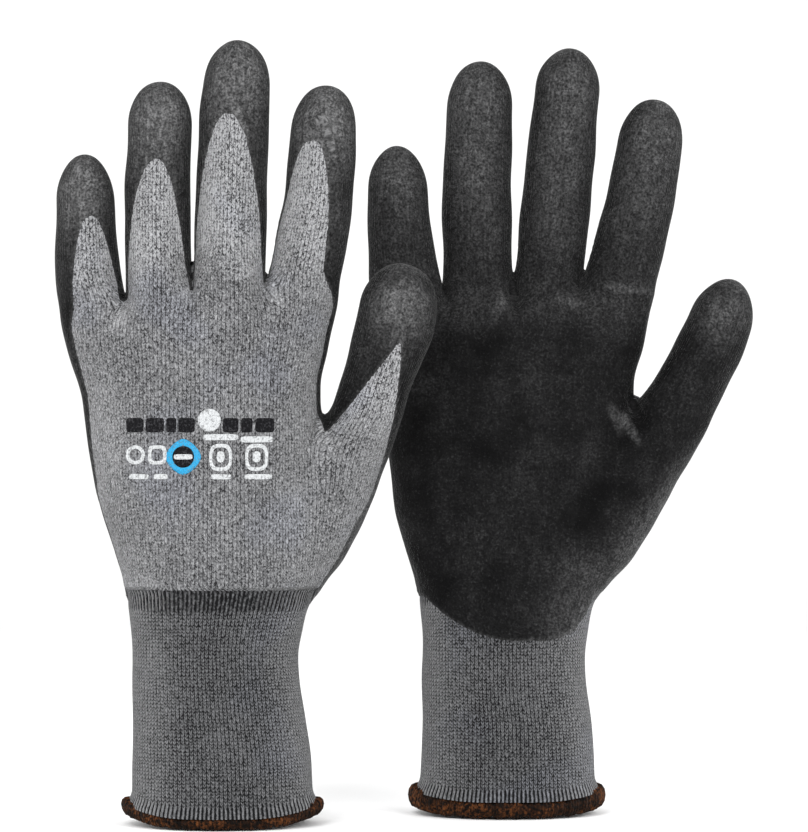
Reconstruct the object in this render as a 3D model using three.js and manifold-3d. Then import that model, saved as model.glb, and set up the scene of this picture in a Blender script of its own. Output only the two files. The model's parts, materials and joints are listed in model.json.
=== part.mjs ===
// A pair of knitted work gloves with a dipped foam coating over the palm and fingertips.
// Millimetres, +Z up. The pair stands on its cuffs, the left glove with its back to the
// front (-Y) and the right glove, a little further back, with its palm to the front.
import * as THREE from "three";
import { mergeVertices } from "three/addons/utils/BufferGeometryUtils.js";
import Module from "manifold-3d";

const wasm = await Module();
wasm.setup();

// Layers, counted inwards from the coating's outer surface.
const COATING = 0.8; // dipped foam skin
const GAP = 0.3; // kept between solids that touch
const KNIT = 1.2; // knitted wall
const ELASTIC = 0.6; // elastic yarn layer inside the wrist
const LINER_OUT = COATING + GAP; // depth of the knit's outer face
const LINER_IN = LINER_OUT + KNIT; // depth of the knit's inner face
const FILM_OUT = LINER_OUT - 2 * GAP; // outer face of the printed transfer film
const FILM_IN = LINER_OUT - GAP;

// Heights shared by both gloves.
const HEM_HEIGHT = 5;
const HEM_RISE = 2.8; // how far the cuff's edge lifts at its two sides
const HEM_FLAT = 0.3; // share of the half-width over which the hem stays flat on the floor
const CUFF_TOP = 76.8; // end of the ribbed wrist, start of the hand
const PALM_EDGE = 1; // the palm coating starts this far to the palm side of the middle plane
const FOLD = 41; // half of a finger's bend, in degrees
const SWING = 12; // half of the room for the thumb's swing, in degrees
const BAND = 2; // height of the flexing band where it doesn't widen

// Facets round each kind of tube.
const DIGIT_SIDES = 10;
const TRUNK_SIDES = 18;
const CAP_ANGLES = [0, 48]; // stations on a rounded fingertip, in degrees
const CAP_LENGTH = 15;
const BIG = 60; // half-size of a cutting block

const KNIT_GREY = 0x74777d;
const CUFF_GREY = 0x55575c;
const COAT_BLACK = 0x1b1b1d;
const HEM_BROWN = 0x2a160e;
const FILM_WHITE = 0xd8dcde;
const ELASTIC_WHITE = 0xbfc2c4;

// Each glove has its own frame: x to the right, p towards its palm, z up, with x = p = 0 in
// the middle of the wrist. A trunk station is [z, left edge, right edge, half-depth, p].
// A digit is a line of [x, p, z, half-width, half-depth] from its root inside the hand to
// its tip; hinge is the height of its bending line, and window the height and the sideways
// shift of the point where the bare knit ends on its back.
const GLOVES = {
  left: {
    x: -61.8,
    y: -18,
    palm: 1,
    hem: { x: 2.6, halfWidth: 33, halfDepth: 25 },
    trunk: [
      [4, -27.8, 32.8, 23, 0],
      [30, -27.8, 31, 22.3, 0],
      [57, -27.6, 28.4, 21.2, 0],
      [77, -30.4, 34.5, 21.2, 0],
      [100, -36.4, 35, 20, 0.8],
      [129.5, -42, 35.1, 18, 1.5],
      [150, -45.5, 36.4, 15, 2],
      [168, -50.5, 39.5, 11.5, 2],
      [175, -48, 38, 6, 2],
    ],
    digits: {
      little: {
        line: [
          [-31, 1, 138, 9, 9],
          [-39.5, 4, 171, 11.4, 9.8],
          [-42, 4, 195, 10.2, 9.3],
          [-42, 3, 218.6, 9.2, 8.6],
        ],
        hinge: 184,
        window: { top: 198.5, shift: 3 },
      },
      ring: {
        line: [
          [-17, 2, 150, 11.3, 10.4],
          [-18.3, 1, 176, 11.3, 10.2],
          [-18.5, 1, 204, 11.1, 9.8],
          [-17.2, 0, 242.3, 10, 9],
        ],
        hinge: 190,
        window: { top: 216.7, shift: 0 },
      },
      middle: {
        line: [
          [4, 1.5, 152, 11.6, 10.6],
          [4.9, 0, 179, 11.9, 10.4],
          [5.5, 0, 209, 11.8, 10.2],
          [8.2, -1, 255.4, 10.7, 9.3],
        ],
        hinge: 193,
        window: { top: 231.2, shift: -1 },
      },
      index: {
        line: [
          [23, 2, 150, 11.6, 10.4],
          [28.6, 1.5, 176, 12.3, 10.3],
          [33.2, 1.5, 202, 11.5, 10],
          [36.5, 0, 241, 10.5, 9.2],
        ],
        hinge: 190,
        window: { top: 222.4, shift: -3 },
      },
      thumb: {
        line: [
          [14, 2, 72, 12, 13],
          [28, 3.5, 93, 16, 15],
          [37.6, 3, 109.3, 14.5, 13],
          [47.5, 1, 129.5, 12, 11.5],
          [53, 0, 146, 11.6, 10.8],
          [58.9, -1, 162, 12.9, 10.6],
          [62.5, -1, 182.6, 12.4, 10],
        ],
        hinge: 143,
        window: { top: 157.5, shift: 6 },
      },
    },
  },
  right: {
    x: 33.1,
    y: 18,
    palm: -1,
    hem: { x: 1.3, halfWidth: 33, halfDepth: 25 },
    trunk: [
      [4, -28.8, 31.2, 23, 0],
      [30, -28.2, 30, 22.3, 0],
      [56, -27.9, 28.3, 21.2, 0],
      [77, -29.4, 33.5, 21.2, 0],
      [100, -35.4, 38, 20, 0.8],
      [129.5, -38.4, 42.8, 18, 1.5],
      [150, -39.8, 44.3, 15, 2],
      [169, -44, 48, 11.5, 2],
      [176.5, -42, 46, 6, 2],
    ],
    digits: {
      little: {
        line: [
          [-26, 1, 140, 9, 9],
          [-32.9, 4, 176, 11.7, 9.8],
          [-35.2, 4, 199.6, 10.3, 9.3],
          [-35.3, 4, 223.3, 9.3, 8.6],
        ],
        hinge: 189,
        window: { top: 203.2, shift: 3 },
      },
      ring: {
        line: [
          [-8, 2, 152, 11.6, 10.4],
          [-8.4, 1, 179, 12.1, 10.2],
          [-8.6, 1, 206, 12.1, 9.8],
          [-7.2, 1, 251.7, 10.6, 9],
        ],
        hinge: 194,
        window: { top: 222, shift: 0 },
      },
      middle: {
        line: [
          [13, 1.5, 152, 11.6, 10.6],
          [14.8, 0, 179, 11.9, 10.4],
          [18.1, 0, 209, 11.8, 10.2],
          [22.7, 0, 256.1, 10.6, 9.3],
        ],
        hinge: 194,
        window: { top: 232, shift: -1 },
      },
      index: {
        line: [
          [32, 2, 152, 11.8, 10.4],
          [38, 1.5, 178, 12.3, 10.3],
          [43.8, 1.5, 202, 11.7, 10],
          [50.4, 1, 239, 10.4, 9.2],
        ],
        hinge: 191,
        window: { top: 222, shift: -3 },
      },
      thumb: {
        line: [
          [14, 2, 72, 12, 13],
          [29.5, 4, 93, 16, 15],
          [40.6, 5, 109.3, 14.5, 13],
          [51.2, 5, 125, 13, 11.8],
          [61.7, 5, 143.4, 11.6, 10.8],
          [70, 5, 160.5, 11, 10.4],
          [75.4, 5, 180.6, 9.6, 9.4],
        ],
        hinge: 149,
        window: { top: 160, shift: 6 },
      },
    },
  },
};

// --- solids -------------------------------------------------------------------------

function toSolid(geometry) {
  const bare = new THREE.BufferGeometry();
  bare.setAttribute("position", geometry.getAttribute("position"));
  bare.setIndex(geometry.index);
  const merged = mergeVertices(bare, 1e-4);
  const mesh = new wasm.Mesh({
    numProp: 3,
    vertProperties: new Float32Array(merged.getAttribute("position").array),
    triVerts: new Uint32Array(merged.index.array),
  });
  return new wasm.Manifold(mesh);
}

function toGeometry(solid) {
  const mesh = solid.getMesh();
  const geometry = new THREE.BufferGeometry();
  const positions = new Float32Array(mesh.numVert * 3);
  for (let i = 0; i < mesh.numVert; i++) {
    const from = i * mesh.numProp;
    positions.set(mesh.vertProperties.subarray(from, from + 3), i * 3);
  }
  geometry.setAttribute("position", new THREE.BufferAttribute(positions, 3));
  geometry.setIndex(new THREE.BufferAttribute(new Uint32Array(mesh.triVerts), 1));
  geometry.computeVertexNormals();
  return geometry;
}

function join(solids) {
  return solids.reduce((sum, solid) => sum.add(solid));
}

// The closed solid through a row of rings, each an array of points, with flat ends.
function loft(rings) {
  const sides = rings[0].length;
  const points = rings.flat();
  const faces = [];
  for (let r = 0; r + 1 < rings.length; r++) {
    for (let k = 0; k < sides; k++) {
      const a = r * sides + k;
      const b = r * sides + ((k + 1) % sides);
      faces.push([a, b, b + sides], [a, b + sides, a + sides]);
    }
  }
  for (const [ring, turned] of [[0, true], [rings.length - 1, false]]) {
    const centre = new THREE.Vector3();
    for (const point of rings[ring]) centre.addScaledVector(point, 1 / sides);
    points.push(centre);
    for (let k = 0; k < sides; k++) {
      const a = ring * sides + k;
      const b = ring * sides + ((k + 1) % sides);
      faces.push(turned ? [b, a, points.length - 1] : [a, b, points.length - 1]);
    }
  }
  const volume = faces.reduce(
    (sum, [a, b, c]) => sum + points[a].dot(points[b].clone().cross(points[c])),
    0,
  );
  const outward = volume > 0 ? faces : faces.map(([a, b, c]) => [a, c, b]);
  const geometry = new THREE.BufferGeometry().setFromPoints(points);
  geometry.setIndex(outward.flat());
  return toSolid(geometry);
}

// An outline in the plane of two axes of a frame, pulled along the third to both sides.
// Along is "x" (outline in y and z) or "y" (outline in x and z).
function block(outline, frame, along, from = -BIG, to = BIG) {
  const shape = new THREE.Shape(outline.map(([a, b]) => new THREE.Vector2(a, b)));
  const geometry = new THREE.ExtrudeGeometry(shape, { depth: to - from, bevelEnabled: false });
  geometry.translate(0, 0, from);
  const [x, y, z] = [0, 1, 2].map((i) => new THREE.Vector3().setComponent(i, 1));
  const turn = new THREE.Matrix4();
  if (along === "x") turn.makeBasis(y, z, x);
  else turn.makeBasis(x, z, y.clone().negate());
  geometry.applyMatrix4(turn).applyMatrix4(frame);
  return loftSafe(geometry);
}

// A mirrored frame turns faces round; this turns them back before the solid is made.
function loftSafe(geometry) {
  const solid = geometry.index ? geometry.toNonIndexed() : geometry;
  const at = solid.getAttribute("position");
  const [a, b, c] = [0, 1, 2].map(() => new THREE.Vector3());
  let volume = 0;
  for (let i = 0; i < at.count; i += 3) {
    a.fromBufferAttribute(at, i);
    b.fromBufferAttribute(at, i + 1);
    c.fromBufferAttribute(at, i + 2);
    volume += a.dot(b.cross(c));
  }
  if (volume < 0) {
    for (let i = 0; i < at.count; i += 3) {
      a.fromBufferAttribute(at, i + 1);
      b.fromBufferAttribute(at, i + 2);
      at.setXYZ(i + 1, b.x, b.y, b.z);
      at.setXYZ(i + 2, a.x, a.y, a.z);
    }
  }
  const bare = new THREE.BufferGeometry().setAttribute("position", at);
  return toSolid(mergeVertices(bare, 1e-4));
}

// --- one glove's shapes -------------------------------------------------------------

function place(glove, x, p, z) {
  return new THREE.Vector3(glove.x + x, glove.y + glove.palm * p, z);
}

// How far the cuff's edge lifts off the floor at x, counted from the hem's middle.
function hemLift(glove, x) {
  const share = Math.abs(x - glove.hem.x) / glove.hem.halfWidth;
  const past = Math.max(0, share - HEM_FLAT) / (1 - HEM_FLAT);
  return HEM_RISE * past * past;
}

// The hand and wrist as one flattened tube, every wall moved inwards by depth.
function trunkSolid(glove, depth, bottom, top) {
  const stations = glove.trunk.map((station) => [...station]);
  const last = stations[stations.length - 1];
  last[0] -= depth;
  const between = (z) => {
    const above = stations.findIndex((station) => station[0] >= z);
    const [low, high] = [stations[above - 1], stations[above]];
    const share = (z - low[0]) / (high[0] - low[0]);
    return low.map((value, i) => value + (high[i] - value) * share);
  };
  const start = between(Math.max(bottom, stations[0][0] + 0.01));
  start[0] = bottom;
  const kept = stations.filter(([z]) => z > bottom + 1 && z < top - 1);
  const end = top < last[0] ? [between(top)] : [];
  const rings = [start, ...kept, ...end].map(([z, left, right, halfDepth, p]) => {
    const ring = [];
    for (let k = 0; k < TRUNK_SIDES; k++) {
      const angle = ((k + 0.5) / TRUNK_SIDES) * 2 * Math.PI;
      const [c, s] = [Math.cos(angle), Math.sin(angle)];
      const x = (left + right) / 2 + ((right - left) / 2 - depth) * c;
      const y = p + (halfDepth - depth) * Math.sign(s) * Math.abs(s) ** 0.85;
      ring.push(place(glove, x, y, z + (z < 20 ? hemLift(glove, x) : 0)));
    }
    return ring;
  });
  return loft(rings);
}

function digitCurve(glove, digit) {
  return new THREE.CatmullRomCurve3(digit.line.map(([x, p, z]) => place(glove, x, p, z)));
}

// The half-width and half-depth of a digit at a height, from its line's own stations.
function digitSize(digit, z) {
  const line = digit.line;
  const i = Math.min(line.length - 2, Math.max(0, line.findIndex((at) => at[2] > z) - 1));
  const share = THREE.MathUtils.clamp((z - line[i][2]) / (line[i + 1][2] - line[i][2]), 0, 1);
  return [3, 4].map((n) => THREE.MathUtils.lerp(line[i][n], line[i + 1][n], share));
}

// A digit's frame at a share of its curve: x across it, y towards the palm, z along it.
function digitFrame(glove, curve, share) {
  const along = curve.getTangentAt(share);
  const across = new THREE.Vector3(0, 1, 0).cross(along).normalize();
  const palmward = along.clone().cross(across).multiplyScalar(glove.palm);
  return new THREE.Matrix4()
    .makeBasis(across, palmward, along)
    .setPosition(curve.getPointAt(share));
}

// A whole digit with a rounded tip, every wall moved inwards by depth.
function digitSolid(glove, digit, depth) {
  const curve = digitCurve(glove, digit);
  const length = curve.getLength();
  const capStart = length - CAP_LENGTH;
  const stations = [];
  const steps = digit.line.length - 1;
  for (let i = 0; i < steps; i++) stations.push([(capStart * i) / steps, 1]);
  for (const degrees of CAP_ANGLES) {
    const angle = THREE.MathUtils.degToRad(degrees);
    const reach = (CAP_LENGTH - depth) * Math.sin(angle);
    stations.push([capStart + reach, Math.cos(angle)]);
  }
  stations.push([length - depth, 0.02]);
  const rings = stations.map(([along, share]) => {
    const frame = digitFrame(glove, curve, along / length);
    const height = new THREE.Vector3().setFromMatrixPosition(frame).z;
    const [halfWidth, halfDepth] = digitSize(digit, height);
    const ring = [];
    for (let k = 0; k < DIGIT_SIDES; k++) {
      const angle = ((k + 0.5) / DIGIT_SIDES) * 2 * Math.PI;
      const x = (halfWidth - depth) * share * Math.cos(angle);
      const y = (halfDepth - depth) * share * Math.sin(angle);
      ring.push(new THREE.Vector3(x, y, 0).applyMatrix4(frame));
    }
    return ring;
  });
  return loft(rings);
}

// The share of a digit's curve that lies at a height.
function shareAtHeight(curve, z) {
  let [low, high] = [0, 1];
  for (let i = 0; i < 40; i++) {
    const middle = (low + high) / 2;
    if (curve.getPointAt(middle).z < z) low = middle;
    else high = middle;
  }
  return low;
}

// Cuts a digit at its bending line: the part left on the hand, the band that folds and the
// part that moves. The band widens towards where the digit folds: the palm side of a
// finger, both edges of a thumb.
function hingeBlocks(frame, isThumb) {
  const slope = Math.tan(THREE.MathUtils.degToRad(isThumb ? SWING : FOLD));
  const wide = 30;
  const leftSlope = isThumb ? slope : 0;
  const edge = (side, offset) => [
    [-wide, side * (BAND / 2 + wide * leftSlope + offset)],
    [0, side * (BAND / 2 + offset)],
    [wide, side * (BAND / 2 + wide * slope + offset)],
  ];
  const along = isThumb ? "y" : "x";
  const far = 160;
  return {
    below: block([[-wide, -far], [wide, -far], ...edge(-1, GAP).reverse()], frame, along),
    band: block([...edge(-1, 0), ...edge(1, 0).reverse()], frame, along),
    above: block([...edge(1, GAP), [wide, far], [-wide, far]], frame, along),
  };
}

// The bare knit window on a digit's back: a pointed arch, open towards the hand.
function windowBlock(glove, digit, frame, curve) {
  const { top, shift } = digit.window;
  const share = shareAtHeight(curve, top);
  const apex = curve.getPointAt(share).applyMatrix4(frame.clone().invert());
  const [halfWidth] = digitSize(digit, top);
  const outline = [];
  const steps = 4;
  for (let i = -steps; i <= steps; i++) {
    const fall = (i / steps) ** 2;
    const x = Math.sign(i) * halfWidth * 1.1 * Math.min(1, fall ** 0.62);
    outline.push([shift * (1 - fall) + x, apex.z - 36 * fall]);
  }
  outline.push([BIG / 2, apex.z - 36], [BIG / 2, -BIG], [-BIG / 2, -BIG], [-BIG / 2, apex.z - 36]);
  return block(outline, frame, "y", 0, BIG);
}

// The palm side of the hand: everything past the middle plane and above a round lower edge.
function palmBlock(glove) {
  const outline = [];
  const steps = 8;
  for (let i = 0; i <= steps; i++) {
    const x = -34 + (i / steps) * 74;
    const share = Math.abs(x - 6) / 36;
    outline.push([x, 58.5 + 20 * share ** 2.4]);
  }
  outline.push([BIG * 2, 90], [BIG * 2, 240], [-BIG * 2, 240], [-BIG * 2, 90]);
  const frame = new THREE.Matrix4()
    .makeBasis(
      new THREE.Vector3(1, 0, 0),
      new THREE.Vector3(0, glove.palm, 0),
      new THREE.Vector3(0, 0, 1),
    )
    .setPosition(glove.x, glove.y, 0);
  return block(outline, frame, "y", -BIG, -PALM_EDGE);
}

// The stitched edge of the cuff: an oval ring, flat underneath at its front and back.
function hemGeometry(glove) {
  const section = [
    [-1.7, 0], [1.7, 0], [2.6, 1.4], [2.6, 3.6], [1.7, HEM_HEIGHT],
    [-1.7, HEM_HEIGHT], [-2.6, 3.6], [-2.6, 1.4], [-1.7, 0],
  ];
  const radius = glove.hem.halfWidth - 2.6;
  const profile = section.map(([r, z]) => new THREE.Vector2(radius + r, z));
  const geometry = new THREE.LatheGeometry(profile, TRUNK_SIDES, Math.PI / TRUNK_SIDES);
  geometry.rotateX(Math.PI / 2);
  geometry.scale(1, glove.hem.halfDepth / glove.hem.halfWidth, 1);
  geometry.translate(glove.x + glove.hem.x, glove.y, 0);
  const at = geometry.getAttribute("position");
  for (let i = 0; i < at.count; i++) {
    at.setZ(i, at.getZ(i) + hemLift(glove, at.getX(i) - glove.x));
  }
  return toGeometry(loftSafe(geometry));
}

// --- meshes -------------------------------------------------------------------------

function meshOf(name, solid, colour, roughness) {
  const geometry = solid.isBufferGeometry ? solid : toGeometry(solid);
  const material = new THREE.MeshStandardMaterial({ color: colour, roughness, metalness: 0 });
  const mesh = new THREE.Mesh(geometry, material);
  mesh.name = name;
  return mesh;
}

// A digit as a group standing at its bending line, so that turning the group bends it.
function buildDigit(gloveName, digitName) {
  const glove = GLOVES[gloveName];
  const digit = glove.digits[digitName];
  const curve = digitCurve(glove, digit);
  const frame = digitFrame(glove, curve, shareAtHeight(curve, digit.hinge));
  const blocks = hingeBlocks(frame, digitName === "thumb");
  const coat = digitSolid(glove, digit, 0);
  const underCoat = digitSolid(glove, digit, COATING);
  const knit = digitSolid(glove, digit, LINER_OUT);
  const hollow = digitSolid(glove, digit, LINER_IN);
  const window = windowBlock(glove, digit, frame, curve);
  const parts = {
    liner: [knit.subtract(hollow).intersect(blocks.above), KNIT_GREY, 0.9],
    coating: [
      coat.subtract(underCoat).intersect(blocks.above).subtract(window),
      COAT_BLACK,
      0.75,
    ],
    flex_band: [coat.subtract(hollow).intersect(blocks.band), COAT_BLACK, 0.8],
  };
  const group = new THREE.Group();
  const position = new THREE.Vector3();
  const turn = new THREE.Quaternion();
  const upright = frame.clone();
  if (glove.palm < 0) upright.scale(new THREE.Vector3(1, -1, 1)); // a rotation, not a mirror
  upright.decompose(position, turn, new THREE.Vector3());
  group.position.copy(position);
  group.quaternion.copy(turn);
  const inverse = new THREE.Matrix4().compose(position, turn, new THREE.Vector3(1, 1, 1)).invert();
  for (const [part, [solid, colour, roughness]] of Object.entries(parts)) {
    const mesh = meshOf(`${gloveName}_${digitName}_${part}`, solid, colour, roughness);
    mesh.geometry.applyMatrix4(inverse);
    group.add(mesh);
  }
  group.userData = { digit: `${gloveName}_${digitName}`, hinge: position };
  return { group, blocks, coat, underCoat, knit, hollow };
}

function buildGlove(name) {
  const glove = GLOVES[name];
  const group = new THREE.Group();
  const digits = Object.keys(glove.digits).map((digit) => buildDigit(name, digit));
  for (const digit of digits) group.add(digit.group);

  const handTop = 400;
  const stubs = (layer) => digits.map((digit) => digit[layer].intersect(digit.blocks.below));
  const knitOut = join([trunkSolid(glove, LINER_OUT, CUFF_TOP + GAP, handTop), ...stubs("knit")]);
  const knitIn = join([
    trunkSolid(glove, LINER_IN, CUFF_TOP - 6, handTop),
    ...digits.map((digit) => digit.hollow),
  ]);
  const coatOut = join([trunkSolid(glove, 0, 50, handTop), ...stubs("coat")]);
  const coatIn = join([
    trunkSolid(glove, COATING, 45, handTop),
    ...digits.map((digit) => digit.underCoat),
  ]);
  const above = handTop + 10;
  const wristCut = block(
    [[-200, CUFF_TOP + GAP], [200, CUFF_TOP + GAP], [200, above], [-200, above]],
    new THREE.Matrix4().setPosition(0, 0, 0),
    "y",
    -200,
    200,
  );
  const hand = knitOut.subtract(knitIn).intersect(wristCut);
  const coating = coatOut.subtract(coatIn).intersect(palmBlock(glove));
  const cuff = trunkSolid(glove, LINER_OUT, HEM_HEIGHT + GAP, CUFF_TOP).subtract(
    trunkSolid(glove, LINER_IN, 0, CUFF_TOP + 5),
  );
  const elasticOut = LINER_IN + GAP;
  const elastic = trunkSolid(glove, elasticOut, 45, CUFF_TOP - 2).subtract(
    trunkSolid(glove, elasticOut + ELASTIC, 0, CUFF_TOP + 5),
  );
  group.add(meshOf(`${name}_hand_liner`, hand, KNIT_GREY, 0.9));
  group.add(meshOf(`${name}_palm_coating`, coating, COAT_BLACK, 0.75));
  group.add(meshOf(`${name}_cuff`, cuff, CUFF_GREY, 0.9));
  group.add(meshOf(`${name}_wrist_elastic`, elastic, ELASTIC_WHITE, 0.8));
  group.add(meshOf(`${name}_cuff_hem`, hemGeometry(glove), HEM_BROWN, 0.85));
  group.add(meshOf(`${name}_print_film`, filmSolid(name), FILM_WHITE, 0.6));
  return group;
}

// The transfer film on the back of the hand that carries the size and care marks.
function filmSolid(name) {
  const glove = GLOVES[name];
  const film = { x: -4, z: 123.5, halfWidth: 24, halfHeight: 11, corner: 3 };
  const outline = [];
  for (const [sx, sz] of [[-1, -1], [1, -1], [1, 1], [-1, 1]]) {
    const start = Math.atan2(sz, sx) - Math.PI / 4;
    for (let i = 0; i <= 2; i++) {
      const angle = start + (i * Math.PI) / 4;
      outline.push([
        film.x + sx * (film.halfWidth - film.corner) + film.corner * Math.cos(angle),
        film.z + sz * (film.halfHeight - film.corner) + film.corner * Math.sin(angle),
      ]);
    }
  }
  const frame = new THREE.Matrix4()
    .makeBasis(
      new THREE.Vector3(1, 0, 0),
      new THREE.Vector3(0, glove.palm, 0),
      new THREE.Vector3(0, 0, 1),
    )
    .setPosition(glove.x, glove.y, 0);
  const skin = trunkSolid(glove, FILM_OUT, 90, 400).subtract(trunkSolid(glove, FILM_IN, 80, 400));
  return skin.intersect(block(outline, frame, "y", 2, BIG));
}

const pair = new THREE.Group();
for (const name of Object.keys(GLOVES)) pair.add(buildGlove(name));

// The row's origin is under the middle of the pair, on the floor.
pair.updateMatrixWorld(true);
const box = new THREE.Box3().setFromObject(pair, true);
const middle = box.getCenter(new THREE.Vector3());
pair.position.set(-middle.x, -middle.y, -box.min.z);

export default pair;
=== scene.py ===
"""A pair of knitted work gloves with a foam dip: the looks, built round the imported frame.

Each glove is first one smooth surface, the zero level of a field that joins the hand and five
digits. That surface is cut along the edge of the foam dip, along the top of the cuff and across
the root of each digit, and every piece gets its own thickness. Lengths are in millimetres in a
glove's own frame (x to the right, p towards its palm, z up) until a mesh is made in metres.
"""

import json
import math

import bpy
import numpy as np
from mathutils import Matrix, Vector


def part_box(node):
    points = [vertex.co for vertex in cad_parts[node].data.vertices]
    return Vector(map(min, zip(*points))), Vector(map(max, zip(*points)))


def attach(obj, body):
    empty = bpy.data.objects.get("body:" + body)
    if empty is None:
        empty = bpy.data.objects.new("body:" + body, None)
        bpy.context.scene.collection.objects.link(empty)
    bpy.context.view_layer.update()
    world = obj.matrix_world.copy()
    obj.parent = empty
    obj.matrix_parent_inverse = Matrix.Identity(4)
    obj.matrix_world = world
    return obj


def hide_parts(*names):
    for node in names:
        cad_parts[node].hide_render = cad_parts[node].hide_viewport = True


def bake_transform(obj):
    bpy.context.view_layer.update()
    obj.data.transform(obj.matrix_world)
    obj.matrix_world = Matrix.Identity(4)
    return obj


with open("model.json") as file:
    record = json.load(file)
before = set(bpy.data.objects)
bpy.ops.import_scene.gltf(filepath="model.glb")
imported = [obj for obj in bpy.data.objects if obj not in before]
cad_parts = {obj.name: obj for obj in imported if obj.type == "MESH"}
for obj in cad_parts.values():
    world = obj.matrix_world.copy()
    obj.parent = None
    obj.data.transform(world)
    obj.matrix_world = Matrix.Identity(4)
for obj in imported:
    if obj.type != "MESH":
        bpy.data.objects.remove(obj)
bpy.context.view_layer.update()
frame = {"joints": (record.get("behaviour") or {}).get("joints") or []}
MM = 0.001
HINGES = {  # the height of each digit's bending line
    joint["child"]: joint["pos_m"][2] / MM
    for joint in frame["joints"]
    if joint["type"] == "hinge"
}

# Layers, counted inwards from the outside of the foam.
DIP = 0.55  # foam above the knit
DIP_ROLL = 1.4  # width over which the foam's edge thins out
KNIT = 1.2  # knitted wall
LAP = 0.05  # the foam's thinnest edge stands this far proud of the knit
CELL = np.array([0.8, 1.15, 1.15])  # size of the surface's mesh
MESH_BOX = np.array([[-58.0, -27.0, -2.0], [90.0, 27.0, 260.0]])  # either glove fits in it
SNAP = 0.1  # a cut this near to a point goes through it

# The knit.
WALE = 1.4  # width of one column of stitches
COURSE = 1.15  # height of one row
CUFF_WALES = 120  # columns round the cuff
COOL = (0.98, 1.01, 1.12, 1)  # tint of the bluish patches in the yarn

# The cuff and its hem.
CUFF_TOP = 77
CUFF_DEPTH = 21  # half-depth of the cuff, for spreading its columns evenly
CUFF_WIDTH = 30  # and its half-width
GATHERS = 7  # height of the gathered band under the cuff's top
FLARE = 1.5  # how far the cuff opens out onto its rolled edge
HEM_RADIUS = 2.5
HEM_FLAT = 0.3  # share of the hem's half-width that lies flat, before its ends rise
HEM_TUCK = 1.2  # the cuff reaches this far down behind the roll
HEM_SLACK = 0.4  # the roll is this much thinner between its threads
HEM_THREAD = 0.25  # how far a thread stands out of the roll
HEM_WRAPS, HEM_STEPS, HEM_SIDES = 165, 8, 14  # turns of thread, points on each, points round

# The hand.
SQUARENESS = 2.3  # power of the hand's section: 2 would make it an ellipse
HAND_TOP = 170.5  # height at which the hand ends between the fingers
HAND_TOP_SLOPE = 0.09

# The digits.
ROOT_GAP = 8  # a digit's own piece starts this far below its bending line
BEND = 20  # and bends over this length from there
ROOT_FADE, ROOT_CAP = 8, 14  # inside the hand its tube narrows over this length, and closes
CAP = 15  # length of a rounded fingertip
BLUNT = 2.2  # 2 would make it a half-ellipse, and more makes it squarer
NO_DIGIT = -60.0  # stands for a distance past the root of a digit that a point isn't on

# The foam's edge.
WINDOW_DEPTH = 40  # how far below a window's point its half-angles are given
FOAM_SIDE = 94  # angle from the middle of a digit's back beyond which there is always foam
PALM_EDGE = 58.8  # lowest height of the foam on the palm
PALM_RISE = 15  # and how far it rises from there to the sides
PALM_MIDDLE = 4  # x of its lowest place

# How much paler the foam is drawn at each place: where it is stretched thin or rubbed, and painted
# light on the fingertips' tops and a painted highlight on raised folds.
WEAR_AND_PAINTED_LIGHT = {
    "fingers": 0.2,
    "fingertips": 0.08,
    "fingertip_backs": 0.26,
    "lit_tip_tops": 0.2,
    "heel": 0.28,
    "folds": 0.3,
    "knuckles": 0.07,
}

# The print.
INK, INK_LAYER = 0.1, 0.05  # how far ink stands proud of the knit, and of ink under it
MARK_SIDES, MARK_RINGS = 48, 6

# The camera, level, from the middle of the left glove's hem.
CAMERA_OFFSET = (0.0618, -1.303, 0.1331)
CAMERA_LENS, CAMERA_SENSOR = 172.9, 36

# A window is the bare knit on a digit's back: its point's turn round the digit in degrees, and
# for its left and right sides the half-angle WINDOW_DEPTH below the point, with the power by
# which it opens.
WINDOWS = {
    "little": {"turn": 17, "left": (59, 0.4), "right": (64, 0.47)},
    "ring": {"turn": 0, "left": (75, 0.47), "right": (66, 0.45)},
    "middle": {"turn": -11, "left": (70, 0.46), "right": (78, 0.45)},
    "index": {"turn": -18, "left": (74, 0.4), "right": (53, 0.38)},
    "thumb": {"turn": 17, "left": (80, 1.0), "right": (53, 0.7)},
}

# palm is the side of a glove's palm in the row, 1 for away from the camera. hem_x is the middle
# of its hem, hem_tall how much taller than round the roll is, and hem_rise how far its ends
# rise. web is the height of the fingers' crotches.
GLOVES = {
    "left": {"palm": 1, "hem_x": 2.6, "hem_tall": 1, "hem_rise": 4.2, "web": 174},
    "right": {"palm": -1, "hem_x": 1.3, "hem_tall": 1.4, "hem_rise": 2.8, "web": 182},
}

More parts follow.
